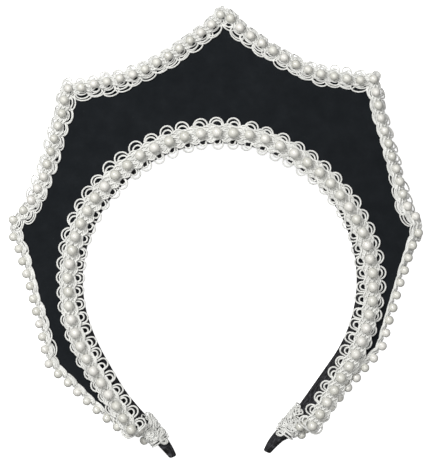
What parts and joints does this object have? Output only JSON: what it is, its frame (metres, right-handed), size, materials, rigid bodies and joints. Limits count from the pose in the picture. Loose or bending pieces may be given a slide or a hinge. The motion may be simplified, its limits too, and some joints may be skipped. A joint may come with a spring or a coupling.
{
  "type": "headband french hood",
  "caption": "French hood costume headpiece: a pointed stiff fabric crescent on a covered headband, with pearl braid along the opening and over the outer edge.",
  "frame": {"origin": "on the surface that the hood lies on, under the middle of its overall box", "axes": "+Z out of the face, +Y from the headband's tips towards the top point, +X to the right as the picture shows the face"},
  "size_m": [0.1868, 0.2038, 0.0233],
  "materials": {
    "band_cloth": "ribbed charcoal ribbon",
    "panel_cloth": "matt black cloth",
    "brow_braid": "off-white cord braid with glossy ivory pearls",
    "edge_braid": "off-white cord braid with small glossy ivory pearls",
    "wrap_braid": "off-white braid, gathered and wound"
  },
  "bodies": {
    "root": {"headband": "band_cloth", "crown_panel": "panel_cloth", "brow_trim": "brow_braid", "edge_trim": "edge_braid", "end_wrap_left": "wrap_braid", "end_wrap_right": "wrap_braid"}
  },
  "joints": []
}
